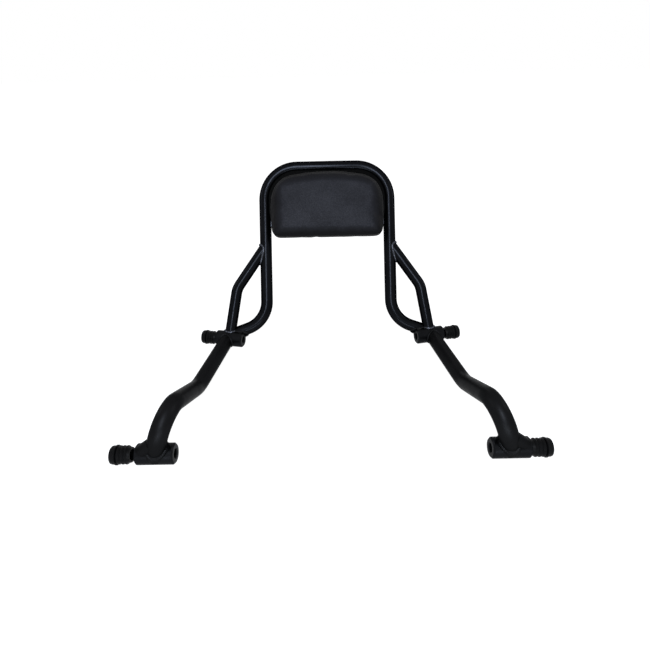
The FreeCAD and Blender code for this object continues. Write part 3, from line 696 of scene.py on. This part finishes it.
# Name, place, width, height, watts, colour.
SOFTBOXES = (
    ("key", (-0.08, -1.1, 1.15), 0.20, 0.8, 15.0, (0.84, 0.91, 1.0)),
    ("front_low", (0.0, -1.5, 0.12), 1.2, 0.2, 8.0, (0.86, 0.93, 1.0)),
    ("broad", (0.0, -0.9, 1.2), 1.0, 0.5, 1.5, (0.93, 0.96, 1.0)),
    ("fill_left", (-1.4, 0.3, 0.9), 0.3, 0.7, 2.5, (1.0, 1.0, 1.0)),
    ("fill_right", (1.4, 0.3, 0.9), 0.3, 0.7, 2.5, (1.0, 1.0, 1.0)),
    ("back", (0.3, 1.6, 0.5), 0.4, 0.5, 3.5, (1.0, 1.0, 1.0)),
)


def shows_background(tree):
    """1 on the rays that show the background, 0 on the rays that light the part."""
    path = tree.nodes.new("ShaderNodeLightPath")
    shown = path.outputs["Is Camera Ray"]
    for kind in ("Is Glossy Ray", "Is Transmission Ray"):
        either = tree.nodes.new("ShaderNodeMath")
        either.operation = "MAXIMUM"
        tree.links.new(shown, either.inputs[0])
        tree.links.new(path.outputs[kind], either.inputs[1])
        shown = either.outputs[0]
    return shown


def make_floor():
    """Pale paper that the camera sees as white, but for the part's faint shadow."""
    nodes = Nodes("floor_paper")
    tone = nodes.ramp(nodes.noise(3.0, 3.0), [
        (0.3, (0.60, 0.60, 0.60)), (0.7, (0.64, 0.64, 0.64))])
    plain = nodes.new("ShaderNodeBsdfDiffuse")
    nodes.link(tone, plain.inputs["Color"])
    glow = nodes.new("ShaderNodeEmission")
    glow.inputs["Color"].default_value = (1.0, 1.0, 1.0, 1.0)
    glow.inputs["Strength"].default_value = FLOOR_GLOW
    thin = nodes.new("ShaderNodeBsdfDiffuse")
    thin.inputs["Color"].default_value = (FLOOR_SHADE, FLOOR_SHADE, FLOOR_SHADE, 1.0)
    shown = nodes.new("ShaderNodeAddShader")
    nodes.link(glow.outputs[0], shown.inputs[0])
    nodes.link(thin.outputs[0], shown.inputs[1])
    choose = nodes.new("ShaderNodeMixShader")
    nodes.link(shows_background(nodes.tree), choose.inputs["Fac"])
    nodes.link(plain.outputs[0], choose.inputs[1])
    nodes.link(shown.outputs[0], choose.inputs[2])
    nodes.link(choose.outputs[0], nodes.output.inputs["Surface"])
    bpy.ops.mesh.primitive_plane_add(size=FLOOR_SIZE, location=(0.0, 0.0, -FLOOR_GAP))
    floor = bpy.context.object
    floor.name = "floor"
    floor.data.materials.append(nodes.material)


def make_world():
    """Faint cool light on the part, and white behind it."""
    world = bpy.data.worlds.new("studio")
    world.use_nodes = True
    bpy.context.scene.world = world
    tree = world.node_tree
    tree.nodes.clear()
    light = tree.nodes.new("ShaderNodeBackground")
    light.inputs["Color"].default_value = (0.93, 0.96, 1.0, 1.0)
    light.inputs["Strength"].default_value = WORLD_LIGHT
    white = tree.nodes.new("ShaderNodeBackground")
    white.inputs["Color"].default_value = (1.0, 1.0, 1.0, 1.0)
    white.inputs["Strength"].default_value = 1.0
    choose = tree.nodes.new("ShaderNodeMixShader")
    tree.links.new(shows_background(tree), choose.inputs["Fac"])
    tree.links.new(light.outputs[0], choose.inputs[1])
    tree.links.new(white.outputs[0], choose.inputs[2])
    output = tree.nodes.new("ShaderNodeOutputWorld")
    tree.links.new(choose.outputs[0], output.inputs["Surface"])


def softbox(name, place, width, height, watts, colour):
    """Area lamp turned toward the part."""
    lamp = bpy.data.lights.new(name, "AREA")
    lamp.shape = "RECTANGLE"
    lamp.size = width
    lamp.size_y = height
    lamp.energy = watts
    lamp.color = colour
    holder = bpy.data.objects.new(name, lamp)
    bpy.context.scene.collection.objects.link(holder)
    holder.location = place
    aim = LIGHTS_AIM - Vector(place)
    holder.rotation_euler = aim.to_track_quat("-Z", "Y").to_euler()


def make_camera():
    """Camera at the photograph's viewing angle, from its turns down, sideways and around."""
    yaw = Matrix.Rotation(CAMERA_YAW, 3, "Z")
    ahead = yaw @ Vector((0.0, math.cos(CAMERA_DOWN), -math.sin(CAMERA_DOWN)))
    across = yaw @ Vector((1.0, 0.0, 0.0))
    above = yaw @ Vector((0.0, math.sin(CAMERA_DOWN), math.cos(CAMERA_DOWN)))
    right = across * math.cos(CAMERA_ROLL) + above * math.sin(CAMERA_ROLL)
    up = above * math.cos(CAMERA_ROLL) - across * math.sin(CAMERA_ROLL)
    lens = bpy.data.cameras.new("camera")
    lens.sensor_width = 36.0
    lens.lens = lens.sensor_width * FOCAL_PIXELS / IMAGE_SIZE
    lens.clip_start = 0.01
    camera = bpy.data.objects.new("camera", lens)
    bpy.context.scene.collection.objects.link(camera)
    turn = Matrix((right, up, -ahead)).transposed().to_4x4()
    camera.matrix_world = Matrix.Translation(CAMERA_AT) @ turn
    bpy.context.scene.camera = camera


make_floor()
make_world()
for settings in SOFTBOXES:
    softbox(*settings)
make_camera()
bpy.context.scene.view_settings.view_transform = "Standard"
